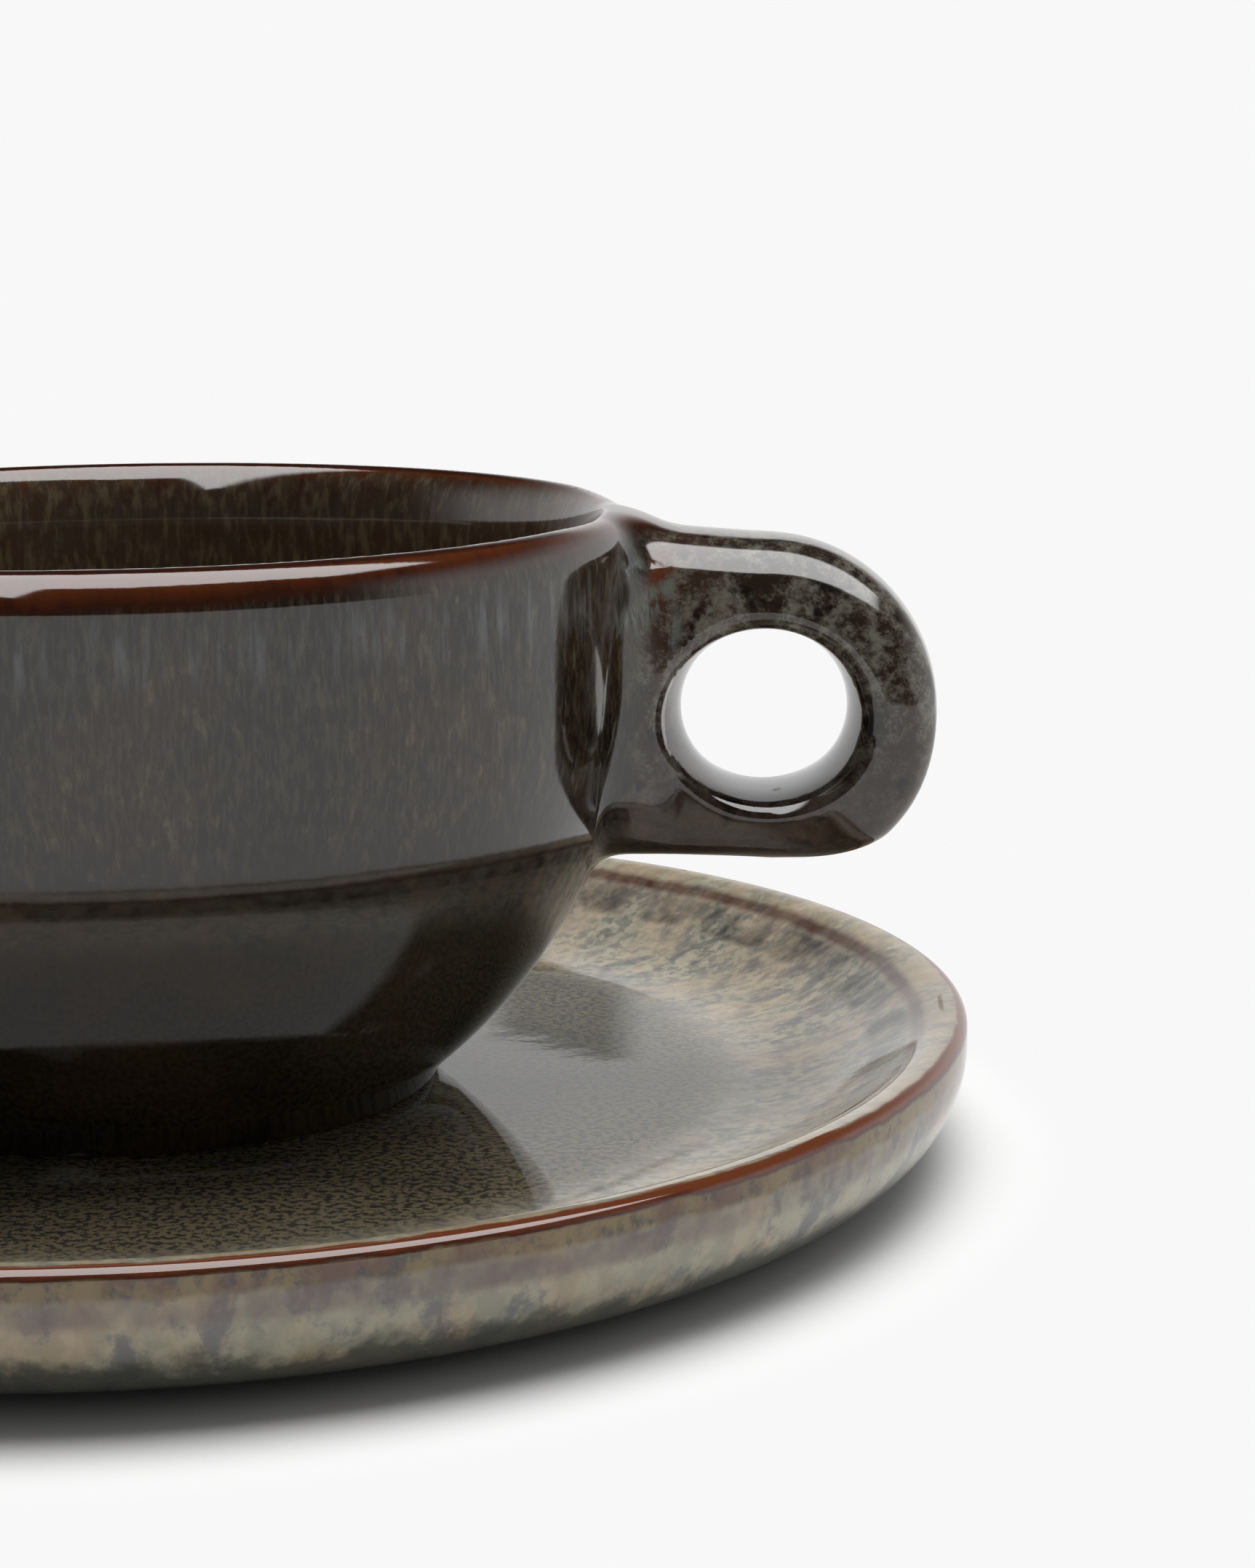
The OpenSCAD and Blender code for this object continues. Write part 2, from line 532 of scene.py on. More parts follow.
class GlazeSheet(NodeSheet):
    """The sheet of a glaze, with its shader and the place where its effects are read."""

    def __init__(self, name: str, ior: float, effects: GlazeEffects) -> None:
        """Start a glossy glaze.

        Args:
            name: Name of the material.
            ior: Refractive index of the glaze.
            effects: The shared glaze groups.
        """
        self.material = bpy.data.materials.new(name)
        self.material.use_nodes = True
        super().__init__(self.material.node_tree)
        self.effects = effects
        self.shader = self.tree.nodes["Principled BSDF"]
        self.shader.inputs["IOR"].default_value = ior
        self.place = self.add("ShaderNodeTexCoord").outputs["Object"]

    def flecks(
        self, scale: float, run: float, low: float, high: float, detail: float = 2.0
    ) -> Socket:
        """Use the shared crystals.

        Args:
            scale: Crystals in a metre.
            run: How much of the height counts, less than 1 for drawn-out crystals.
            low: Noise where a crystal starts.
            high: Noise where it is full.
            detail: Octaves of the noise.

        Returns:
            The crystals' mask.
        """
        values = {
            "Vector": self.place, "Scale": scale, "Run": run,
            "Low": low, "High": high, "Detail": detail,
        }
        return self.add("ShaderNodeGroup", values, node_tree=self.effects.flecks).outputs[0]

    def skin(self, ripple: float, dimple: float, pores: float) -> tuple[Socket, Socket]:
        """Use the shared skin.

        Args:
            ripple: Height of the long ripples.
            dimple: Height of the fine dimples.
            pores: Strength of the pinholes.

        Returns:
            The skin's height, and the mask of its pinholes.
        """
        values = {"Vector": self.place, "Ripple": ripple, "Dimple": dimple, "Pores": pores}
        node = self.add("ShaderNodeGroup", values, node_tree=self.effects.skin)
        return node.outputs["Height"], node.outputs["Pore"]

    def drawn(self, run: float) -> Socket:
        """Take the place with its height shrunk, so that noise on it is drawn out upright."""
        return self.stretch(self.place, (1.0, 1.0, run))

    def finish(
        self, colour: Socket, gloss: Socket, height: Socket, bump: tuple[float, float]
    ) -> None:
        """Feed the shader.

        Args:
            colour: Base colour.
            gloss: Roughness.
            height: Height of the skin.
            bump: Strength of the skin's bump, and its depth in metres.
        """
        values = {"Height": height, "Strength": bump[0], "Distance": bump[1]}
        normal = self.add("ShaderNodeBump", values).outputs[0]
        for key, value in (("Base Color", colour), ("Roughness", gloss), ("Normal", normal)):
            self.tree.links.new(value, self.shader.inputs[key])


@dataclass(frozen=True)
class CupGlaze:
    """Near-black tenmoku glaze that breaks to rust on edges, with tan and milky crystals."""

    deep: Colour = srgb(27, 22, 17)
    umber: Colour = srgb(42, 31, 22)
    tan: Colour = srgb(126, 112, 88)
    olive: Colour = srgb(78, 72, 56)
    milk: Colour = srgb(112, 120, 124)
    rust: Colour = srgb(96, 47, 20)
    rust_deep: Colour = srgb(54, 24, 12)
    grey_green: Colour = srgb(124, 121, 109)
    inside: Colour = srgb(88, 69, 54)
    grip_brown: Colour = srgb(46, 35, 27)
    grip_red: Colour = srgb(62, 44, 36)
    soot: Colour = srgb(20, 17, 14)
    pool: Colour = srgb(104, 116, 108)
    clay: Colour = srgb(186, 168, 140)
    ior: float = 1.64
    bump: tuple[float, float] = (0.5, 0.00008)

    def material(self, effects: GlazeEffects) -> bpy.types.Material:
        """Build the material.

        Args:
            effects: The shared glaze groups.

        Returns:
            The material, which reads the cup's point masks.
        """
        sheet = GlazeSheet("cup_glaze", self.ior, effects)
        drop, inner, grip, thin, pool, bare = (
            sheet.mark(key) for key in ("drop", "inner", "grip", "thin", "pool", "bare")
        )
        cloud = sheet.noise(sheet.place, 70.0, 3.0, 0.55)
        wall = sheet.mix(sheet.ease(cloud, 0.4, 0.65), self.deep, self.umber)
        wall = sheet.mix(sheet.times(inner, 0.8), wall, self.inside)
        wall = self._flecked(sheet, wall, cloud, inner, drop)
        wall = self._milky(sheet, wall, drop, inner)
        colour = sheet.mix(grip, wall, self._mottled(sheet))
        colour = self._rusted(sheet, colour, drop, inner, thin)
        streak = sheet.noise(sheet.drawn(0.1), 1400.0, 3.0, 0.6)
        milky = sheet.times(pool, sheet.ease(streak, 0.42, 0.6))
        colour = sheet.mix(sheet.times(milky, 0.8), colour, self.pool)
        colour = sheet.mix(bare, colour, self.clay)
        height, pore = sheet.skin(0.9, 0.1, 0.35)
        gloss = sheet.ramp(pore, 0.3, sheet.ramp(cloud, 0.05, 0.05))
        sheet.finish(colour, sheet.ramp(bare, 0.6, gloss), height, self.bump)
        return sheet.material

    def _flecked(
        self, sheet: GlazeSheet, ground: Socket, cloud: Socket, inner: Socket, drop: Socket
    ) -> Socket:
        """Float the upright tan and olive crystals in the dark glaze.

        Args:
            sheet: The glaze's sheet.
            ground: Colour under the crystals.
            cloud: Slow noise that thins and thickens them.
            inner: Mask of the inside, where they are denser.
            drop: Depth below the lip, down which they thin out.

        Returns:
            The flecked colour.
        """
        hair = sheet.flecks(3000.0, 0.2, 0.42, 0.66)
        soft = sheet.flecks(1250.0, 0.36, 0.5, 0.78, 4.0)
        run = sheet.flecks(1300.0, 0.26, 0.44, 0.68, 4.0)
        dense = sheet.ramp(sheet.ease(cloud, 0.3, 0.7), 0.26, 0.16)
        # Both kinds of crystal thin out down the bowl, which darkens it towards the bottom
        dense = sheet.times(dense, sheet.ramp(sheet.ease(drop, 21.0, 28.0), -0.85, 1.0))
        dense = sheet.ramp(inner, 0.65, dense)
        upper = sheet.ramp(sheet.ease(drop, 19.0, 27.0), -0.36, 0.4)
        colour = sheet.mix(sheet.times(hair, upper), ground, self.olive)
        outer = sheet.times(soft, sheet.flip(inner))
        share = sheet.ramp(sheet.times(run, inner), 0.7, outer)
        return sheet.mix(sheet.times(share, dense), colour, self.tan)

    def _milky(self, sheet: GlazeSheet, ground: Socket, drop: Socket, inner: Socket) -> Socket:
        """Draw the blue-grey runs under the lip.

        Args:
            sheet: The glaze's sheet.
            ground: Colour under the runs.
            drop: Depth below the lip.
            inner: Mask of the inside.

        Returns:
            The colour with the runs.
        """
        runs = sheet.flecks(900.0, 0.12, 0.45, 0.75, 5.0)
        share = sheet.times(sheet.times(runs, sheet.band(drop, 4.0, 8.5, 4.0)), 0.45)
        return sheet.mix(sheet.times(share, sheet.ramp(inner, -0.8, 1.0)), ground, self.milk)

    def _mottled(self, sheet: GlazeSheet) -> Socket:
        """Cloud the handle in fine grey-green grain over brown, with soft sooty spots, the grain
        thickening upwards as a painted sheen.

        Args:
            sheet: The glaze's sheet.

        Returns:
            The handle's colour.
        """
        warm = sheet.noise(sheet.place, 110.0, 3.0, 0.5)
        colour = sheet.mix(sheet.ease(warm, 0.48, 0.66), self.grip_brown, self.grip_red)
        patch = sheet.noise(sheet.place, 330.0, 8.0, 0.8)
        # The grain is the glaze's own, but its share rises with height: painted sheen on the top,
        # painted shade lower down
        share = sheet.ramp(sheet.ease(sheet.axes(sheet.place)[2], 0.028, 0.046), 0.8, 0.1)
        share = sheet.times(sheet.ease(patch, 0.44, 0.62), share)
        colour = sheet.mix(share, colour, self.grey_green)
        spots = sheet.flecks(380.0, 0.9, 0.57, 0.66, 4.0)
        return sheet.mix(sheet.times(spots, 0.9), colour, self.soot)

    def _rusted(
        self, sheet: GlazeSheet, ground: Socket, drop: Socket, inner: Socket, thin: Socket
    ) -> Socket:
        """Break the glaze to rust round the lip, and where it ran thin.

        Args:
            sheet: The glaze's sheet.
            ground: Colour under the rust.
            drop: Depth below the lip.
            inner: Mask of the inside.
            thin: Places where the glaze ran thin.

        Returns:
            The colour with rust.
        """
        width = sheet.ramp(sheet.axes(sheet.place)[0], -32.0, 3.3)
        drift = sheet.minus(sheet.noise(sheet.drawn(0.2), 130.0, 3.0, 0.5), 0.5)
        below = sheet.minus(sheet.ramp(drift, 1.8, width), drop)
        runs = sheet.noise(sheet.drawn(0.12), 800.0, 3.0, 0.55)
        inside = sheet.times(sheet.flip(sheet.ease(drop, 0.3, 6.5)), sheet.ease(runs, 0.35, 0.75))
        back = sheet.times(inner, sheet.ease(drop, 0.2, 1.2))
        lip = sheet.times(sheet.ease(below, -0.7, 0.8), sheet.flip(back))
        share = sheet.math("ADD", lip, sheet.times(inside, back))
        deep = sheet.flip(sheet.ease(below, 0.1, 2.4))
        deep = sheet.math("MAXIMUM", deep, sheet.flip(sheet.ease(drop, 0.12, 0.5)))
        deep = sheet.math("MULTIPLY_ADD", sheet.ease(runs, 0.4, 0.75), 0.3, deep, clamp=True)
        colour = sheet.mix(share, ground, sheet.mix(deep, self.rust, self.rust_deep))
        return sheet.mix(thin, colour, self.rust)


@dataclass(frozen=True)
class SaucerGlaze:
    """Khaki glaze with slate speckle, clouded tan and slate on the slopes, rust on the crest."""

    khaki: Colour = srgb(124, 115, 90)
    khaki_deep: Colour = srgb(100, 93, 72)
    slate: Colour = srgb(44, 46, 46)
    tan: Colour = srgb(202, 174, 140)
    tan_deep: Colour = srgb(180, 156, 124)
    green: Colour = srgb(184, 176, 148)
    green_deep: Colour = srgb(158, 153, 131)
    blue: Colour = srgb(94, 98, 107)
    moss: Colour = srgb(138, 138, 128)
    pale: Colour = srgb(216, 209, 196)
    wash: Colour = srgb(234, 242, 252)
    rust: Colour = srgb(116, 62, 36)
    rust_deep: Colour = srgb(72, 38, 28)
    red: Colour = srgb(86, 50, 42)
    olive: Colour = srgb(120, 100, 62)
    mauve: Colour = srgb(104, 86, 84)
    cream: Colour = srgb(172, 154, 122)
    shade: Colour = srgb(62, 64, 58)
    clay: Colour = srgb(186, 168, 140)
    ior: float = 1.6
    bump: tuple[float, float] = (0.4, 0.00006)
    wrap: float = 0.075

    def material(self, effects: GlazeEffects) -> bpy.types.Material:
        """Build the material.

        Args:
            effects: The shared glaze groups.

        Returns:
            The material, which reads the saucer's point masks.
        """
        sheet = GlazeSheet("saucer_glaze", self.ior, effects)
        rim, flat, bare = (sheet.mark(key) for key in ("rim", "flat", "bare"))
        colour = sheet.mix(flat, self._clouded(sheet, rim), self._speckled(sheet))
        colour = self._crested(sheet, colour, rim)
        colour = sheet.mix(bare, colour, self.clay)
        height, pore = sheet.skin(0.5, 0.05, 1.0)
        colour = sheet.mix(sheet.times(pore, 0.8), colour, self.slate)
        gloss = sheet.ramp(sheet.noise(sheet.place, 60.0, 2.0, 0.5), 0.03, 0.008)
        gloss = sheet.ramp(sheet.band(rim, -19.0, -11.0, 8.0), 0.24, gloss)
        gloss = sheet.ramp(pore, 0.4, gloss)
        sheet.finish(colour, sheet.ramp(bare, 0.6, gloss), height, self.bump)
        return sheet.material

    def _speckled(self, sheet: GlazeSheet) -> Socket:
        """Speckle the flat floor with slate.

        Args:
            sheet: The glaze's sheet.

        Returns:
            The floor's colour.
        """
        cloud = sheet.noise(sheet.place, 60.0, 3.0, 0.5)
        colour = sheet.mix(sheet.ease(cloud, 0.35, 0.65), self.khaki_deep, self.khaki)
        grain = sheet.flecks(1500.0, 1.0, 0.45, 0.58, 4.0)
        return sheet.mix(sheet.times(grain, sheet.ramp(cloud, -0.4, 1.1)), colour, self.slate)

    def _clouded(self, sheet: GlazeSheet, rim: Socket) -> Socket:
        """Mottle the slope and the wall in tan, slate blue and grey-green, drawn down the section.

        Args:
            sheet: The glaze's sheet.
            rim: Distance from the crest along the section, positive outside.

        Returns:
            The slopes' colour.
        """
        down = sheet.turned(sheet.place, self.wrap, rim, 0.75)
        tone = sheet.ease(sheet.noise(down, 420.0, 5.0, 0.6), 0.38, 0.62)
        warm = sheet.noise(down, 140.0, 5.0, 0.6)
        cool = sheet.noise(down, 300.0, 5.0, 0.62)
        green = sheet.mix(tone, self.green_deep, self.green)
        tan = sheet.mix(tone, self.tan_deep, self.tan)
        light = sheet.mix(sheet.times(sheet.ease(warm, 0.46, 0.6), 0.85), green, tan)
        wall = sheet.mix(sheet.times(sheet.ease(cool, 0.48, 0.64), 0.85), light, self.blue)
        wall = sheet.mix(1.0, sheet.mix(0.3, wall, self.olive), self.wash, "MULTIPLY")
        grain = sheet.flecks(900.0, 1.0, 0.43, 0.6, 5.0)
        grain = sheet.times(grain, sheet.ramp(sheet.ease(warm, 0.4, 0.62), -0.55, 0.9))
        slope = sheet.mix(grain, sheet.mix(0.34, light, self.pale), self.moss)
        slope = sheet.mix(sheet.times(sheet.ease(cool, 0.48, 0.66), 0.5), slope, self.blue)
        return sheet.mix(sheet.ease(rim, -1.0, 1.0), slope, wall)

    def _crested(self, sheet: GlazeSheet, ground: Socket, rim: Socket) -> Socket:
        """Draw the rust line on the crest, and the bands that run beside it.

        Args:
            sheet: The glaze's sheet.
            ground: Colour of the slopes.
            rim: Distance from the crest along the section, positive outside.

        Returns:
            The colour with the bands.
        """
        run = sheet.turned(sheet.place, self.wrap, rim, 0.12)
        along = sheet.ramp(sheet.minus(sheet.noise(run, 190.0, 4.0, 0.6), 0.5), 1.2, rim)
        loose = sheet.turned(sheet.place, self.wrap, rim, 0.8)
        patch = sheet.noise(loose, 260.0, 4.0, 0.6)
        streak = sheet.noise(loose, 620.0, 4.0, 0.65)
        blot = sheet.minus(sheet.noise(loose, 190.0, 3.0, 0.6), 0.5)
        under = sheet.ramp(sheet.minus(patch, 0.5), 9.0, rim)
        colour = sheet.mix(sheet.times(sheet.ease(under, 7.4, 10.4), 0.85), ground, self.shade)
        # Each band has its limits along the section, its tint, its share and how blotchy it is
        for low, high, tint, share, vary in (
            (-8.8, -4.6, self.slate, 0.4, 2.6),
            (-4.4, -2.8, self.red, 0.8, 1.0),
            (-2.8, 0.3, self.cream, 0.4, 2.2),
            (3.1, 5.3, self.mauve, 0.5, 2.4),
        ):
            mask = sheet.band(along, low, high, 1.1)
            mask = sheet.math("MULTIPLY", mask, sheet.ramp(blot, vary, share), clamp=True)
            colour = sheet.mix(mask, colour, tint)
        tone = sheet.mix(sheet.times(sheet.ease(patch, 0.45, 0.62), 0.8), self.olive, self.red)
        tone = sheet.mix(sheet.times(sheet.ease(streak, 0.5, 0.66), 0.8), tone, self.slate)
        colour = sheet.mix(sheet.times(sheet.band(along, 1.4, 3.1, 0.8), 0.9), colour, tone)
        rust = sheet.mix(sheet.ease(along, 0.9, 1.5), self.rust, self.rust_deep)
        return sheet.mix(sheet.band(along, 0.1, 1.55, 0.4), colour, rust)


@dataclass
class Cup:
    """The cup with its ring handle, as one glazed form.

    Attributes:
        rim_z: Height of the lip above the table.
        foot_z: Height of the cup's foot.
        radius: Outside radius of the wall.
        wall: Thickness of the wall behind the lip.
        bowl_wall: Thickness of the bowl.
        bowl_r: Radius of the round bowl.
        bowl_z: Height where the bowl turns into the wall.
        belly: How much fuller the bowl is than its arc.
        belly_z: Height where the bowl is fullest.
        belly_span: How far the fullness reaches up and down.
        foot_r: Outside radius of the foot ring.
        foot_w: Width of the foot ring.
        foot_h: Height up to which the foot ring can be seen.
        foot_root: Width of the fillet between the bowl and the foot.
        foot_edge: Width of the soft edges of the foot ring.
        recess: Depth of the hollow in the foot ring.
        floor_z: Height of the inside floor.
        floor_edge: Radius between the inside floor and the bowl.
        lip_out: Width of the lip's round outside.
        lip_drop: Height of the lip's round outside.
        lip_drop_in: Height of the lip's round inside.
        lip_soft: Width of the soft edge where the handle runs up to the lip.
        hole_x: Distance of the finger hole from the cup's axis.
        hole_z: Height of the middle of the finger hole.
        hole_r: Radius of the finger hole at its waist.
        hole_edge: Radius of the finger hole's edges.
        hole_flare: Radius of the flare of the finger hole.
        grip_r: Radius of the handle's outline.
        grip_half: Half of the handle's thickness.
        grip_base: Height of the flat under the handle.
        grip_tilt: Fall of that flat along the handle.
        grip_edge: Radius of the handle's edges.
        base_edge: Radius of the corners of the flat.
        crown: Radius of the handle's top across its thickness.
        pillow: Radius of the handle's faces upright.
        taper: Radius of the handle's faces along it.
        spread: How much the handle widens at its roots.
        root: Width of the fillet between the handle and the wall.
        root_top: How much wider that fillet is under the lip.
    """

    rim_z: float = 58.2
    foot_z: float = 6.0
    radius: float = 46.2
    wall: float = 4.7
    bowl_wall: float = 3.2
    bowl_r: float = 47.2
    bowl_z: float = 45.0
    belly: float = 0.34
    belly_z: float = 30.0
    belly_span: float = 4.2
    foot_r: float = 27.0
    foot_w: float = 3.6
    foot_h: float = 4.0
    foot_root: float = 2.6
    foot_edge: float = 0.7
    recess: float = 1.4
    floor_z: float = 11.0
    floor_edge: float = 14.0
    lip_out: float = 2.1
    lip_drop: float = 3.6
    lip_drop_in: float = 7.0
    lip_soft: float = 1.4
    hole_x: float = 57.6
    hole_z: float = 40.3
    hole_r: float = 7.45
    hole_edge: float = 1.8
    hole_flare: float = 21.0
    grip_r: float = 15.2
    grip_half: float = 8.8
    grip_base: float = 27.0
    grip_tilt: float = 0.035
    grip_edge: float = 2.7
    base_edge: float = 3.0
    crown: float = 40.0
    pillow: float = 34.0
    taper: float = 80.0
    spread: float = 4.0
    root: float = 2.4
    root_top: float = 2.6

    @classmethod
    def from_frame(cls) -> "Cup":
        """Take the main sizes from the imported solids' boxes.

        Returns:
            A cup that fills the solids' place.
        """
        low, high = (np.array(c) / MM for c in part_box("cup_body"))
        grip_low, grip_high = (np.array(c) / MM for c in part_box("cup_handle"))
        return cls(
            rim_z=float(high[2]), foot_z=float(low[2]), radius=float(high[0]),
            grip_half=float(grip_high[1]), grip_base=float(grip_low[2]),
            grip_r=float(grip_high[0]) - cls.hole_x,
        )

    def outside(self, points: Array) -> Array:
        """Measure the distance from the cup's filled outer form, without its handle.

        Args:
            points: Points as rows, in millimetres.

        Returns:
            The distances, negative inside.
        """
        z = points[:, 2]
        r = np.hypot(points[:, 0], points[:, 1])
        bowl = np.hypot(r - self.radius + self.bowl_r, z - self.bowl_z) - self.bowl_r
        side = np.where(z < self.bowl_z, bowl, r - self.radius)
        side = side - self.belly * np.exp(-(((z - self.belly_z) / self.belly_span) ** 2))
        up = z - self.rim_z + self.lip_drop
        across = np.maximum(r - self.radius + self.lip_out, 0.0)
        side = np.where(up > 0.0, ellipse(across, up, self.lip_out, self.lip_drop), side)
        foot = np.maximum(r - self.foot_r, z - self.foot_z - self.foot_h)
        return smooth_min(side, foot, self.foot_root)

    def hollow(self, points: Array) -> Array:
        """Measure the distance from the space inside the cup.

        Args:
            points: Points as rows, in millimetres.

        Returns:
            The distances, negative in the hollow.
        """
        z = points[:, 2]
        r = np.hypot(points[:, 0], points[:, 1])
        bowl_x = self.radius - self.bowl_r
        # The wall thickens from the bowl up to the lip
        wall = self.bowl_wall + (self.wall - self.bowl_wall) * ease(z, 34.0, 47.0)
        bowl = np.hypot(r - bowl_x, z - self.bowl_z) - self.bowl_r + wall
        side = np.where(z < self.bowl_z, bowl, r - self.radius + wall)
        up = z - self.rim_z + self.lip_drop_in
        across = np.maximum(self.radius - self.lip_out - r, 0.0)
        lip = ellipse(across, up, self.wall - self.lip_out, self.lip_drop_in)
        # The floor's corner arc lies inside the bowl's arc and touches it
        corner_z = self.floor_z + self.floor_edge
        fall = self.bowl_z - corner_z
        run = math.sqrt((self.bowl_r - self.bowl_wall - self.floor_edge) ** 2 - fall ** 2)
        corner = np.hypot(r - bowl_x - run, z - corner_z) - self.floor_edge
        turn = (r > bowl_x + run) & ((z - self.bowl_z) * run + fall * (r - bowl_x) < 0.0)
        level = np.where(r > bowl_x + run, side, np.maximum(side, self.floor_z - z))
        return np.where(up > 0.0, -lip, np.where(turn, corner, level))

    def handle(self, points: Array) -> Array:
        """Measure the distance from the ring handle.

        Args:
            points: Points as rows, in millimetres.

        Returns:
            The distances, negative inside.
        """
        u = points[:, 0] - self.hole_x
        y = np.abs(points[:, 1])
        w = points[:, 2] - self.hole_z
        # The outline rises a little towards the lip, and its low side runs level into the wall
        lift = 0.8 * ease(-u, -2.0, 12.0) * ease(w, 0.0, 8.0)
        low = np.where(w < 0.0, w * ease(u, -10.0, 2.0), w)
        crown = y ** 2 / (2.0 * self.crown) * ease(w, -9.0, 1.0) - 0.25
        ring = np.hypot(np.maximum(u, 0.0), low) - self.grip_r - lift + crown
        # The flat underneath is tilted along the handle
        base = self.grip_base + 0.2 - self.grip_tilt * (u + 2.0)
        ring = round_max(ring, base - points[:, 2], self.base_edge)
        # The faces are pillowed, thinner outwards and wider at the roots
        middle = 1.4 - 2.6 * ease(u, -4.0, 10.0)
        swell = self.grip_half - (w - middle) ** 2 / (2.0 * self.pillow)
        swell = swell - np.maximum(u, 0.0) ** 2 / (2.0 * self.taper)
        swell += self.spread * np.maximum(1.0 - (w / 13.5) ** 4, 0.0) * ease(-u, 7.0, 15.0)
        slab = round_max(ring, y - swell, self.grip_edge - 0.6 * ease(-w, 3.0, 12.0))
        # The finger hole flares more at its sides than at its top and bottom
        level = u ** 2 / np.maximum(u ** 2 + w ** 2, 0.01)
        flare = np.minimum(y, 8.0) ** 2 * (0.35 + 0.65 * level) / (2.0 * self.hole_flare)
        edge = self.hole_edge - 0.7 * ease(-u, 2.0, 8.0)
        slab = round_max(slab, self.hole_r + flare - np.hypot(u, w), edge)
        return np.maximum(slab, 36.0 - points[:, 0])

    def distance(self, points: Array) -> Array:
        """Measure the distance from the whole cup.

        Args:
            points: Points as rows, in millimetres.

        Returns:
            The distances, negative inside.
        """
        z = points[:, 2]
        r = np.hypot(points[:, 0], points[:, 1])
        root = self.root + self.root_top * ease(z, 49.0, 54.0)
        form = smooth_min(self.outside(points), self.handle(points), root)
        soft = 0.01 + self.lip_soft * ease(points[:, 0], 39.0, 45.0)
        form = smooth_max(form, -self.hollow(points), soft)
        form = smooth_max(form, self.foot_z - z, self.foot_edge)
        under = smooth_max(r - self.foot_r + self.foot_w, z - self.foot_z - self.recess, 1.2)
        return smooth_max(form, -under, self.foot_edge)

    def build(self) -> bpy.types.Object:
        """Mesh the cup and store the masks that its glaze reads.

        Returns:
            The cup's object.
        """
        margin = 1.3
        net = SurfaceNet(
            (-self.radius - margin, -self.radius - margin, self.foot_z - margin),
            (self.hole_x + self.grip_r + margin, self.radius + margin, self.rim_z + margin),
        )
        points, faces = net.mesh(self.distance)
        normals = gradient(self.distance, points)
        return add_piece("cup", points, faces, normals, self._marks(points))

    def _marks(self, points: Array) -> dict[str, Array]:
        """Work out where the glaze is thin, where the handle is and where the clay is bare.

        Args:
            points: The cup's points.

        Returns:
            The masks by name.
        """
        x, y, z = points.T
        r = np.hypot(x, y)
        inner = 1.0 - ease(self.hollow(points), 0.3, 1.2)
        grip = ease(self.outside(points), 0.5, 3.0)
        # One thin patch lies where the handle runs up to the lip
        patch = np.exp(-(((x - 48.4) / 1.3) ** 2 + ((z - 53.0) / 2.2) ** 2))
        hollows = -bend(self.distance, points, 1.2)
        bare = 1.0 - ease(z, self.foot_z + 0.03, self.foot_z + 0.12)
        return {
            "drop": self.rim_z - z,
            "inner": inner * (r < self.radius - self.lip_out),
            "grip": grip,
            "thin": patch * ease(grip, 0.3, 0.8) * 0.9,
            "pool": ease(hollows, 0.08, 0.26) * (r > self.radius - 2.0) * ease(z, 41.0, 46.0),
            "bare": bare * (r < self.foot_r + 1.0),
        }

    def dress(self, piece: bpy.types.Object, effects: GlazeEffects) -> None:
        """Glaze the cup and tie it to its body.

        Args:
            piece: The cup's object.
            effects: The shared glaze groups.
        """
        piece.data.materials.append(CupGlaze().material(effects))
        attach(piece, Body.CUP.value)
        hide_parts("cup_body", "cup_handle")


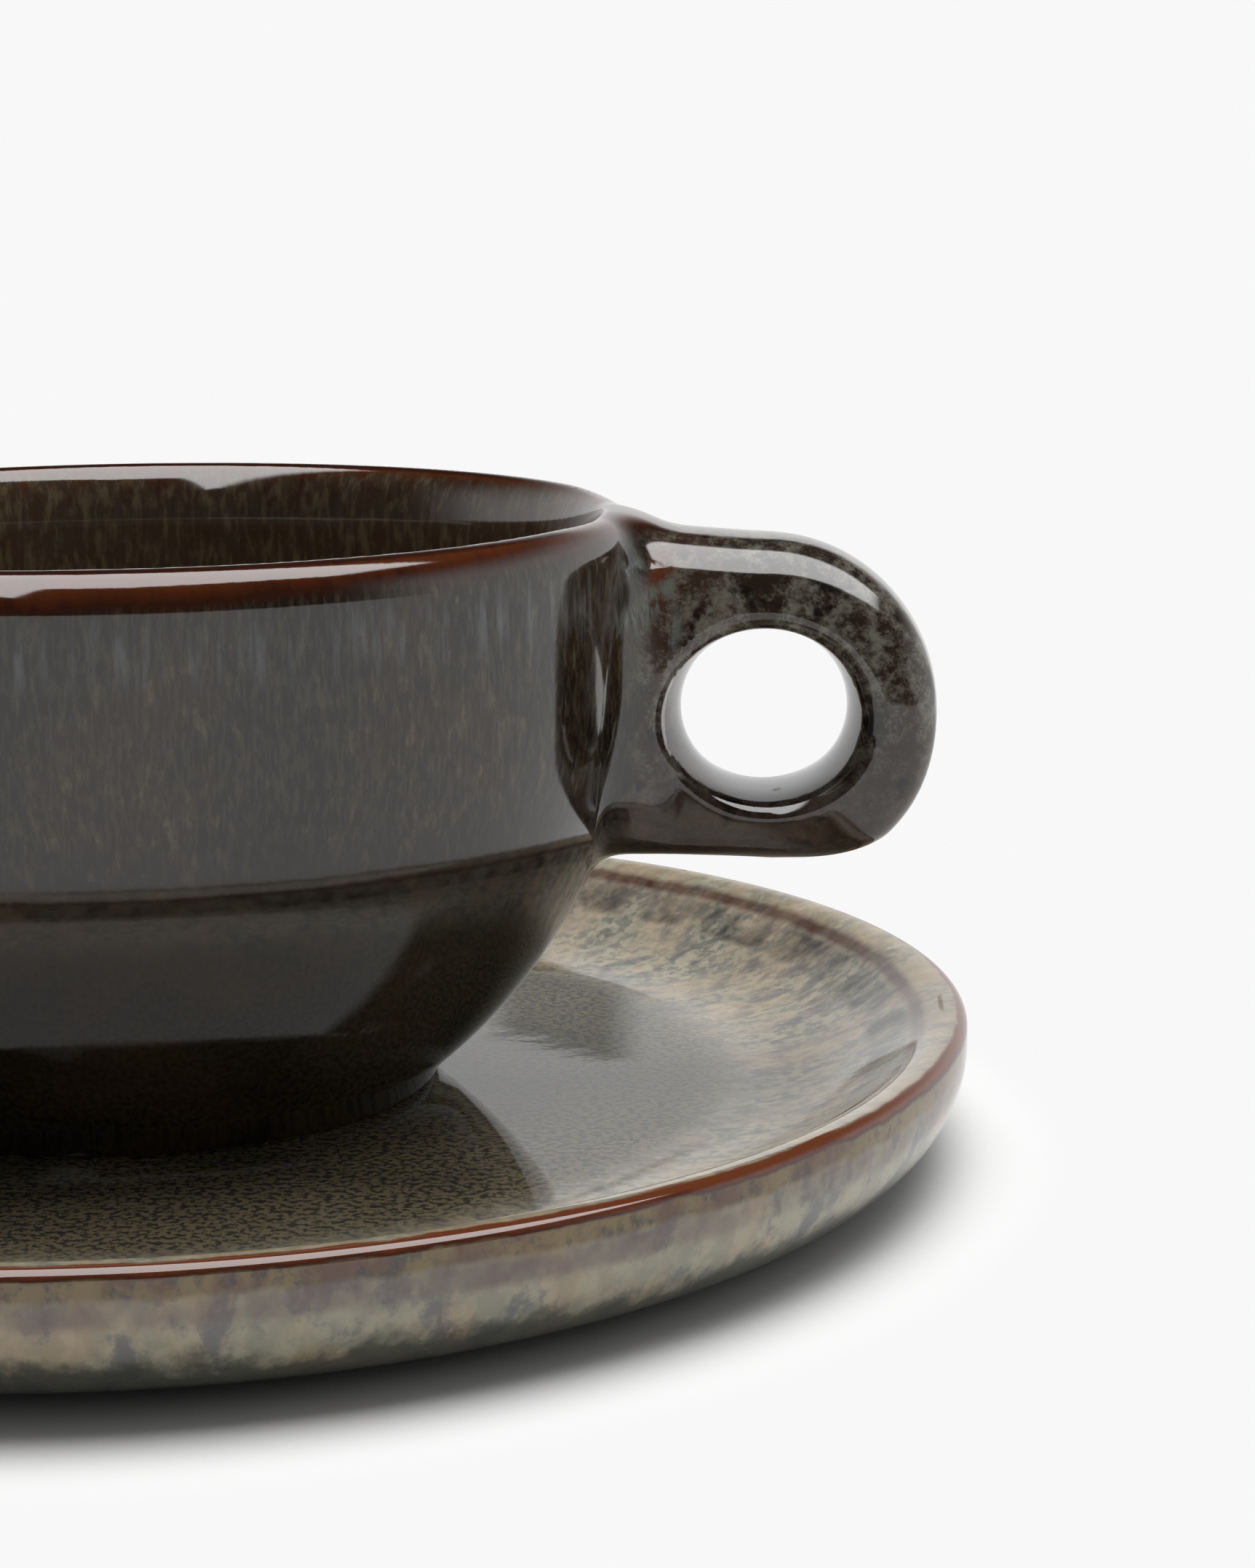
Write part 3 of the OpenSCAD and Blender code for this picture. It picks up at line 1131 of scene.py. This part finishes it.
@dataclass
class Saucer:
    """The saucer, turned from one section.

    Attributes:
        radius: Outside radius.
        height: Height of the crest.
        floor_z: Height of the flat floor.
        floor_r: Radius of the flat floor.
        shoulder_r: Radius of the rolled rim, on its inside.
        cove_r: Distance from the axis where the slope is almost at its steepest.
        lean: Steepest angle of the slope, in degrees.
        edge_r: Radius of the outer edge of the rim.
        wall_r: Radius of the round outer wall.
        foot_h: Height of the foot ring.
        foot_r: Outside radius of the foot ring.
        foot_w: Width of the foot ring.
        bead: Radius of the foot ring's edges.
        hub: Radius of the small ring at the axis that a fan closes.
        wave: Height of the rim's slight wave.
        turns: Sections round the axis.
    """

    radius: float = 76.0
    height: float = 13.0
    floor_z: float = 6.0
    floor_r: float = 51.0
    shoulder_r: float = 5.5
    cove_r: float = 66.4
    lean: float = 35.0
    edge_r: float = 1.1
    wall_r: float = 9.4
    foot_h: float = 1.0
    foot_r: float = 44.0
    foot_w: float = 5.0
    bead: float = 0.4
    hub: float = 0.05
    wave: float = 0.05
    turns: int = 400

    @classmethod
    def from_frame(cls) -> "Saucer":
        """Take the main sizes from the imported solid's box."""
        high = np.array(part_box("saucer")[1]) / MM
        return cls(radius=float(high[0]), height=float(high[2]))

    @staticmethod
    def _arc(
        centre: tuple[float, float], radius: float, start: float, end: float, step: float
    ) -> Array:
        """Sample an arc of the section.

        Args:
            centre: Centre as radius and height.
            radius: Radius of the arc.
            start: First angle in degrees.
            end: Last angle in degrees.
            step: Spacing of the points along the arc.

        Returns:
            The points as rows.
        """
        count = max(3, int(abs(math.radians(end - start)) * radius / step) + 1)
        angle = np.radians(np.linspace(start, end, count))
        flat, up = centre[0] + radius * np.cos(angle), centre[1] + radius * np.sin(angle)
        return np.stack([flat, up], axis=1)

    @staticmethod
    def _level(start: float, end: float, height: float, count: int) -> Array:
        """Sample a level run of the section, from one radius to another."""
        return np.stack([np.linspace(start, end, count), np.full(count, height)], axis=1)

    def _slope(self, top: Array) -> Array:
        """Lay out the slope, which leaves the floor gently and then turns up steeply under the rim.

        Args:
            top: Where the slope meets the rolled rim, as radius and height.

        Returns:
            The points from the rim down to the floor.
        """
        r = np.linspace(self.floor_r, top[0], 70)
        steep = math.tan(math.radians(self.lean))
        # Most of the tilt comes up to the cove, and the rest between there and the rim
        low = np.clip((r - self.floor_r) / (self.cove_r - self.floor_r), 0.0, 1.0) ** 2.4
        high = np.clip((r - self.cove_r) / (top[0] - self.cove_r), 0.0, 1.0)
        tilt = steep * (0.825 * low + 0.175 * high)
        rise = np.concatenate([[0.0], np.cumsum(0.5 * (tilt[1:] + tilt[:-1]) * np.diff(r))])
        z = self.floor_z + rise * (top[1] - self.floor_z) / rise[-1]
        return np.stack([r, z], axis=1)[::-1][1:]

    def section(self) -> tuple[Array, int]:
        """Lay out the section from the middle of the underside to the middle of the floor.

        Returns:
            The points as radius and height, and the number of the crest's point.
        """
        bead = self.bead
        crest_r = self.radius - self.edge_r
        wall_x = self.radius - self.wall_r
        foot_in = self.foot_r - self.foot_w
        head = np.concatenate([
            self._level(self.hub, foot_in - bead, self.foot_h, 24),
            self._arc((foot_in + bead, bead), bead, 180.0, 270.0, 0.15),
            self._arc((self.foot_r - bead, bead), bead, 270.0, 360.0, 0.15),
            self._level(self.foot_r + bead, wall_x - bead, self.foot_h, 16),
            self._arc((wall_x, self.foot_h + self.wall_r), self.wall_r, 270.0, 360.0, 0.5),
            self._arc((crest_r, self.height - self.edge_r), self.edge_r, 0.0, 90.0, 0.16),
        ])
        centre = (crest_r, self.height - self.shoulder_r)
        shoulder = self._arc(centre, self.shoulder_r, 90.0, 90.0 + self.lean, 0.2)[1:]
        floor = self._level(self.floor_r - 0.6, self.hub, self.floor_z, 90)
        return np.concatenate([head, shoulder, self._slope(shoulder[-1]), floor]), len(head) - 1

    def _turn(self, line: Array, angle: Array) -> Array:
        """Carry rows of radius and height round the axis.

        Args:
            line: Radius and height as rows.
            angle: Angles of the turned copies.

        Returns:
            The copies, as angles by rows by three.
        """
        flat, up = line.T
        angle = angle[:, None]
        spun = [np.cos(angle) * flat, np.sin(angle) * flat, np.ones_like(angle) * up]
        return np.stack(spun, axis=-1)

    def build(self) -> bpy.types.Object:
        """Turn the section and store the masks that the glaze reads.

        Returns:
            The saucer's object.
        """
        line, crest = self.section()
        rows = len(line)
        along = np.concatenate([[0.0], np.cumsum(np.hypot(*np.diff(line, axis=0).T))])
        tangent = np.gradient(line, along, axis=0)
        side = np.stack([tangent[:, 1], -tangent[:, 0]], axis=1)
        side /= np.maximum(np.linalg.norm(side, axis=1, keepdims=True), TINY)
        angle = np.linspace(0.0, 2.0 * math.pi, self.turns, endpoint=False)
        wave = self.wave * (np.sin(3.0 * angle + 0.7) + 0.6 * np.sin(7.0 * angle + 2.1))[:, None]
        points = self._turn(line, angle)
        points[..., 2] += np.minimum(
            wave * ease(line[:, 0], 60.0, 74.0)[None, :] * ease(line[:, 1], 6.0, 12.0)[None, :], 0.0
        )
        start = np.arange(self.turns)[:, None] * rows + np.arange(rows - 1)[None, :]
        a, b = start.reshape(-1), np.roll(start, -1, axis=0).reshape(-1)
        faces, points, normals = self._close(
            np.stack([a, b, b + 1, a + 1], axis=1),
            points.reshape(-1, 3), self._turn(side, angle).reshape(-1, 3), rows,
        )
        top = (np.arange(rows) > crest).astype(float)
        flat = top * (1.0 - ease(line[:, 0], self.floor_r - 1.0, self.floor_r + 8.0))
        bare = 1.0 - ease(line[:, 1], 0.1, 0.35)
        marks = {
            key: np.concatenate([np.tile(values, self.turns), values[[0, -1]]])
            for key, values in (("rim", along[crest] - along), ("flat", flat), ("bare", bare))
        }
        return add_piece("saucer_dish", points, faces, normals, marks)

    def _close(
        self, faces: Array, points: Array, normals: Array, rows: int
    ) -> tuple[Array, Array, Array]:
        """Close the two small rings at the axis with fans.

        Args:
            faces: Quads of the turned surface.
            points: Its points.
            normals: Their outward directions.
            rows: Points in one section.

        Returns:
            The faces, points and directions with the two middles added.
        """
        middle = np.array([[0.0, 0.0, points[0, 2]], [0.0, 0.0, points[rows - 1, 2]]])
        up = np.array([[0.0, 0.0, -1.0], [0.0, 0.0, 1.0]])
        here = np.arange(self.turns) * rows
        there = np.roll(here, -1)
        gap = np.full(self.turns, -1)
        first = np.full(self.turns, len(points))
        low = np.stack([first, there, here, gap], axis=1)
        high = np.stack([first + 1, here + rows - 1, there + rows - 1, gap], axis=1)
        pairs = ((faces, low, high), (points, middle), (normals, up))
        return tuple(np.concatenate(pair) for pair in pairs)

    def dress(self, piece: bpy.types.Object, effects: GlazeEffects) -> None:
        """Glaze the saucer and tie it to its body.

        Args:
            piece: The saucer's object.
            effects: The shared glaze groups.
        """
        piece.data.materials.append(SaucerGlaze().material(effects))
        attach(piece, Body.SAUCER.value)
        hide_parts("saucer")


@dataclass(frozen=True)
class Studio:
    """The pale table, the soft lamp, the world and the camera.

    Attributes:
        white: Level of the bare table and the background.
        dim: Level of the mirrored room where nothing is lit.
        bounce: Extra light that the bright table throws back on to the object, also a painted glow
            in the outer part of the table's shadow.
        table_r: Radius of the table in metres.
        table_drop: How far the table lies under the foot, in metres.
        lamp_size: Side of the lamp in metres.
        lamp_power: Power of the lamp in watts.
        lamp_at: Place of the lamp in metres.
        lamp_aim: Point in metres that the lamp faces.
        box_level: Strength of the lamp's box where the glaze mirrors it.
        eye: The camera's place in millimetres.
        yaw: Turn of the view from +Y towards +X, in degrees.
        pitch: Tilt of the view downwards, in degrees.
        roll: Roll of the camera, in degrees.
        lens: Focal length on a 36 mm long side.
    """

    white: float = 0.939
    dim: float = 0.03
    bounce: float = 0.35
    table_r: float = 3.0
    table_drop: float = 0.00002
    lamp_size: float = 0.5
    lamp_power: float = 2.6
    lamp_at: tuple[float, float, float] = (0.15, 0.06, 0.6)
    lamp_aim: tuple[float, float, float] = (0.0, 0.0, 0.03)
    box_level: float = 6.0
    eye: tuple[float, float, float] = (52.95, -300.28, 90.17)
    yaw: float = -1.463
    pitch: float = 10.765
    roll: float = -0.398
    lens: float = 77.63

    def camera(self) -> None:
        """Place the camera where the photograph was taken from."""
        yaw, pitch, roll = (math.radians(a) for a in (self.yaw, self.pitch, self.roll))
        level = math.cos(pitch)
        ahead = Vector((math.sin(yaw) * level, math.cos(yaw) * level, -math.sin(pitch)))
        right = Vector((math.cos(yaw), -math.sin(yaw), 0.0))
        up = right.cross(ahead)
        side = right * math.cos(roll) + up * math.sin(roll)
        top = up * math.cos(roll) - right * math.sin(roll)
        data = bpy.data.cameras.new("camera")
        data.lens = self.lens
        data.sensor_width = 36.0
        data.sensor_fit = "AUTO"
        data.clip_start = 0.01
        data.clip_end = 50.0
        camera = add_object("camera", data)
        turn = Matrix((side, top, -ahead)).transposed().to_4x4()
        camera.matrix_world = Matrix.Translation(Vector(self.eye) * MM) @ turn
        bpy.context.scene.camera = camera

    def lamps(self) -> None:
        """Hang one large soft lamp over the cup, a little to the right."""
        data = bpy.data.lights.new("softbox", "AREA")
        data.shape = "RECTANGLE"
        data.size = data.size_y = self.lamp_size
        data.energy = self.lamp_power
        lamp = add_object("softbox", data)
        lamp.location = self.lamp_at
        aim = Vector(self.lamp_aim) - Vector(self.lamp_at)
        lamp.rotation_euler = aim.to_track_quat("-Z", "Y").to_euler()
        lamp.visible_glossy = False

    def world(self) -> None:
        """Light softly from behind and aside, with a white background and a room to mirror."""
        world = bpy.data.worlds.new("studio")
        world.use_nodes = True
        bpy.context.scene.world = world
        sheet = NodeSheet(world.node_tree)
        sheet.tree.nodes.clear()
        path = sheet.add("ShaderNodeLightPath").outputs
        way = sheet.axes(sheet.add("ShaderNodeTexCoord").outputs["Generated"])
        x, y, _ = way
        round_back = sheet.ramp(sheet.math("ABSOLUTE", x), 0.6, y)
        soft = sheet.ramp(sheet.ease(round_back, -0.2, 0.7), 0.5, 0.1)
        seen = sheet.ramp(self._softbox(sheet, way), self.box_level, self._cove(sheet, way))
        around, mirrored, behind = (
            sheet.add("ShaderNodeBackground", {0: WHITE, 1: strength}).outputs[0]
            for strength in (soft, seen, self.white)
        )
        light = sheet.mix_shaders(path["Is Glossy Ray"], around, mirrored)
        light = sheet.mix_shaders(path["Is Camera Ray"], light, behind)
        sheet.add("ShaderNodeOutputWorld", {0: light})

    def _cove(self, sheet: NodeSheet, way: list[Socket]) -> Socket:
        """Shade the mirrored backdrop: bright low down behind, with a dark flag, dark in front.

        Args:
            sheet: The world's sheet.
            way: Direction to the right, away from the camera and up.

        Returns:
            The backdrop's strength.
        """
        x, y, z = way
        low = sheet.flip(sheet.ease(z, 0.2, 0.62))
        aside = sheet.ramp(sheet.math("MAXIMUM", x, 0.0), 0.3, y)
        tilted = sheet.ramp(x, -0.2, z)
        flag = sheet.band(tilted, 0.247, 0.2712, 0.003)
        flag = sheet.times(flag, sheet.band(x, -0.064, -0.026, 0.016))
        bright = sheet.times(low, sheet.ease(aside, -0.35, 0.25))
        bright = sheet.times(bright, sheet.ramp(flag, -0.66, 1.0))
        return sheet.ramp(bright, self.white - self.dim, self.dim)

    def _softbox(self, sheet: NodeSheet, way: list[Socket]) -> Socket:
        """Mask the part of the sky where the lamp's box is mirrored.

        Args:
            sheet: The world's sheet.
            way: Direction to the right, away from the camera and up.

        Returns:
            The mask of the box.
        """
        x, y, z = way
        high = sheet.math("MAXIMUM", z, 0.05)
        u = sheet.minus(sheet.math("DIVIDE", x, high), 0.2)
        v = sheet.minus(sheet.math("DIVIDE", y, high), -0.4)
        wide = sheet.flip(sheet.ease(sheet.math("ABSOLUTE", u), 0.68, 0.84))
        # The front edge of the box slants to the right and has one raised corner on the left
        slant = sheet.times(sheet.math("MAXIMUM", u, 0.0), 0.7)
        peak = sheet.minus(0.3, sheet.math("ABSOLUTE", sheet.math("ADD", u, 0.67)))
        corner = sheet.times(sheet.math("MAXIMUM", peak, 0.0), 3.2)
        front = sheet.math("ADD", sheet.minus(v, slant), corner)
        deep = sheet.times(sheet.ease(front, -0.6, -0.5), sheet.flip(sheet.ease(v, 0.56, 0.66)))
        return sheet.times(wide, deep)

    def table(self) -> None:
        """Lay the white table, which keeps the shadow near the saucer and is even white beyond."""
        rings, turns = 24, 96
        spokes = [2.0 * math.pi * k / turns for k in range(turns)]
        points = [(0.0, 0.0, 0.0)]
        for r in np.geomspace(0.05, self.table_r, rings):
            points += [(r * math.cos(a), r * math.sin(a), 0.0) for a in spokes]
        faces: list[tuple[int, ...]] = [(0, 1 + k, 1 + (k + 1) % turns) for k in range(turns)]
        for a in range(1, 1 + (rings - 1) * turns, turns):
            b = a + turns
            faces += [
                (a + k, b + k, b + (k + 1) % turns, a + (k + 1) % turns) for k in range(turns)
            ]
        mesh = bpy.data.meshes.new("table")
        mesh.from_pydata(points, [], faces)
        mesh.materials.append(self._table_top())
        table = add_object("table", mesh)
        table.location.z = -self.table_drop

    def _table_top(self) -> bpy.types.Material:
        """Build the table's white, lit near the saucer and plain white further out, where the glow
        paints out the shadow.

        Returns:
            The table's material.
        """
        material = bpy.data.materials.new("table_white")
        material.use_nodes = True
        sheet = NodeSheet(material.node_tree)
        sheet.tree.nodes.clear()
        place = sheet.add("ShaderNodeTexCoord").outputs["Object"]
        length = sheet.add("ShaderNodeVectorMath", {0: place}, operation="LENGTH").outputs["Value"]
        # Painted light: the glow takes over nearer the saucer on its right, and the bounce glow
        # lightens the shadow's outer edge
        right = sheet.math("MAXIMUM", sheet.axes(place)[0], 0.0)
        away = sheet.ease(sheet.ramp(right, 0.03, length), 0.0745, 0.088)
        path = sheet.add("ShaderNodeLightPath").outputs
        plain = sheet.math("MAXIMUM", path["Is Camera Ray"], path["Is Glossy Ray"])
        matt = sheet.add("ShaderNodeBsdfDiffuse", {0: (0.9, 0.9, 0.9, 1.0)}).outputs[0]
        glow = sheet.add("ShaderNodeEmission", {1: self.white}).outputs[0]
        bounce = sheet.add("ShaderNodeEmission", {1: sheet.times(away, self.bounce)}).outputs[0]
        lit = sheet.add("ShaderNodeAddShader", {0: matt, 1: bounce}).outputs[0]
        top = sheet.mix_shaders(sheet.times(plain, away), lit, glow)
        sheet.add("ShaderNodeOutputMaterial", {0: top})
        return material

    def set_up(self) -> None:
        """Set up the whole studio with the plain view transform."""
        bpy.context.scene.view_settings.view_transform = "Standard"
        for job in (self.camera, self.table, self.lamps, self.world):
            job()


def main() -> None:
    """Load the frame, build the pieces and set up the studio."""
    logging.basicConfig(level=logging.INFO, format="%(name)s: %(message)s")
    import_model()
    effects = GlazeEffects()
    for maker in (Saucer.from_frame(), Cup.from_frame()):
        piece = maker.build()
        maker.dress(piece, effects)
        LOG.info("%s: %d faces", piece.name, len(piece.data.polygons))
    Studio().set_up()


if __name__ == "__main__":
    main()
